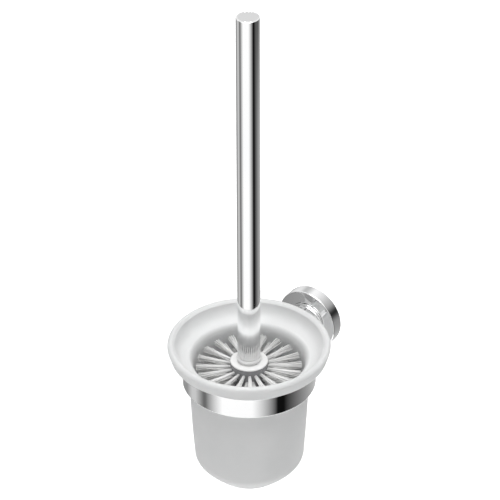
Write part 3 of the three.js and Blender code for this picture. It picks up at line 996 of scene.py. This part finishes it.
def add_tuft(vertices, faces, draw, angle, root_radius, root_z, tilt, length):
    """A close bundle of strands that leaves the hub and opens towards its tip."""
    level = Vector((math.cos(angle), math.sin(angle), 0))
    outward = level * math.cos(tilt) - Vector((0, 0, math.sin(tilt)))
    side = Vector((-math.sin(angle), math.cos(angle), 0))
    up = outward.cross(side)
    root = CUP_AXIS + level * root_radius + Vector((0, 0, root_z)) - outward * STRAND_SINK
    for i in range(STRANDS_PER_TUFT):
        spread = math.sqrt((i + 0.5) / STRANDS_PER_TUFT)
        across = side * math.cos(i * GOLDEN_TURN) + up * math.sin(i * GOLDEN_TURN)
        reach = length + STRAND_SINK + draw.uniform(-LENGTH_JITTER, 0)
        start = root + across * spread * (TUFT_ROOT_RADIUS - STRAND_RADIUS)
        stray = side * draw.uniform(-1, 1) + up * draw.uniform(-1, 1)
        tip = root + outward * reach + across * spread * TUFT_TIP_RADIUS + stray * TIP_JITTER
        middle = start.lerp(tip, 0.5) - across * spread * TUFT_WAIST_SHARE * TUFT_TIP_RADIUS
        add_strand(vertices, faces, [start, middle, tip])


def end_tuft_length(radius, level, tilt):
    """How far a tuft runs from the rounded end before it comes close to the glass."""
    spread = TUFT_TIP_RADIUS * math.cos(tilt)
    to_floor = (level - CUP_FLOOR_Z - SEAT_GAP - spread) / math.sin(tilt)
    out = radius - CUP_DOME_OUT
    down = CUP_DOME_Z - level
    along = out * math.cos(tilt) + down * math.sin(tilt)
    reach = CUP_DOME_RADIUS - CUP_WALL - BRISTLE_CLEARANCE
    to_dome = math.sqrt(along ** 2 - out ** 2 - down ** 2 + reach ** 2) - along
    return min(to_floor, to_dome)


def tier(number, draw):
    """Rows of tufts, each row between the tufts of the row above it."""
    vertices, faces = [], []
    for row in range(TIER_TOP_ROWS[number], TIER_TOP_ROWS[number + 1]):
        level = FIRST_ROW_Z - row * ROW_PITCH
        length = cup_radius(level) - CUP_WALL - BRISTLE_CLEARANCE - HUB_RADIUS
        for i in range(TUFTS_PER_ROW):
            angle = 2 * math.pi * (i + row % 2 / 2) / TUFTS_PER_ROW
            add_tuft(vertices, faces, draw, angle, HUB_RADIUS, level, 0, length)
    piece = strands(f"tufts_{number + 1}", vertices, faces)
    dressed(piece, "bristle", "brush_head", f"bristle_tier_{number + 1}")


def end_tier(draw):
    """The tufts on the hub's rounded end, which point more and more down."""
    vertices, faces = [], []
    for row, (count, degrees) in enumerate(END_ROWS):
        tilt = math.radians(degrees)
        radius = HUB_RADIUS * math.cos(tilt)
        level = HUB_END_Z - HUB_END_HEIGHT * math.sin(tilt)
        length = end_tuft_length(radius, level, tilt)
        for i in range(count):
            angle = 2 * math.pi * (i + (row + 1) % 2 / 2) / count
            add_tuft(vertices, faces, draw, angle, radius, level, tilt, length)
    piece = strands("tufts_4", vertices, faces)
    dressed(piece, "bristle", "brush_head", "bristle_tier_4")


# Handle: ferrule, tube and its flat end

FERRULE_TOP_RADIUS = 8.1 * MM
FERRULE_EDGE = 0.35 * MM
TUBE_WALL = 1 * MM
TUBE_EDGE = 0.5 * MM
PLUG_EDGE = 0.12 * MM
PLUG_SLACK = 0.05 * MM


def ferrule():
    """The tapered collar under the tube."""
    outline = rounded([
        (SOCKET_RADIUS, ferrule_low.z, 0),
        (ferrule_high.x, ferrule_low.z, FERRULE_EDGE),
        (FERRULE_TOP_RADIUS, ferrule_high.z, FERRULE_EDGE),
        (SOCKET_RADIUS, ferrule_high.z, 0),
    ])
    collar = turned("ferrule_collar", supported(outline), ROUND_FACETS)
    dressed(collar, "white_plastic", "ferrule", "handle_ferrule")


def tube():
    """The tube handle, open at both ends."""
    inner = HANDLE_RADIUS - TUBE_WALL
    outline = rounded([
        (inner, tube_low.z, 0),
        (HANDLE_RADIUS, tube_low.z, TUBE_EDGE),
        (HANDLE_RADIUS, tube_high.z, TUBE_EDGE),
        (inner, tube_high.z, PLUG_EDGE),
    ])
    pipe = turned("handle_pipe", supported(outline), ROUND_FACETS)
    dressed(pipe, "chrome", "handle", "handle_tube")


def plug():
    """The flat end that closes the tube at its top."""
    radius = HANDLE_RADIUS - TUBE_WALL - PLUG_SLACK
    outline = rounded([
        (0, plug_low.z, 0),
        (radius, plug_low.z, PLUG_EDGE),
        (radius, plug_high.z, PLUG_EDGE),
        (0, plug_high.z, 0),
    ], closed=False)
    cap = turned("handle_cap", supported(outline, False), ROUND_FACETS, closed=False)
    dressed(cap, "chrome", "handle", "handle_top_plug")


def small_hardware():
    """CAD pieces that stay: the screws and the threaded insert."""
    for name in ("rosette_set_screw", "arm_rear_screw", "arm_front_screw", "handle_insert"):
        part = nodes[name]
        part.data.materials.clear()
        part.data.materials.append(ZINC)
        part.data.shade_smooth()
        part.data.set_sharp_from_angle(angle=SHARP_ANGLE)


# The stage, and then the pieces from the wall outwards

camera()
world()
floor()
tent()
lamp()
bpy.context.scene.view_settings.view_transform = "Standard"

wall_plate()
rosette()
arm_collar()
arm()
ring()
liner()
cup()
hub()
disc()
stud()
draw = random.Random(DRAW_SEED)
for number in range(len(TIER_TOP_ROWS) - 1):
    tier(number, draw)
end_tier(draw)
ferrule()
tube()
plug()
small_hardware()
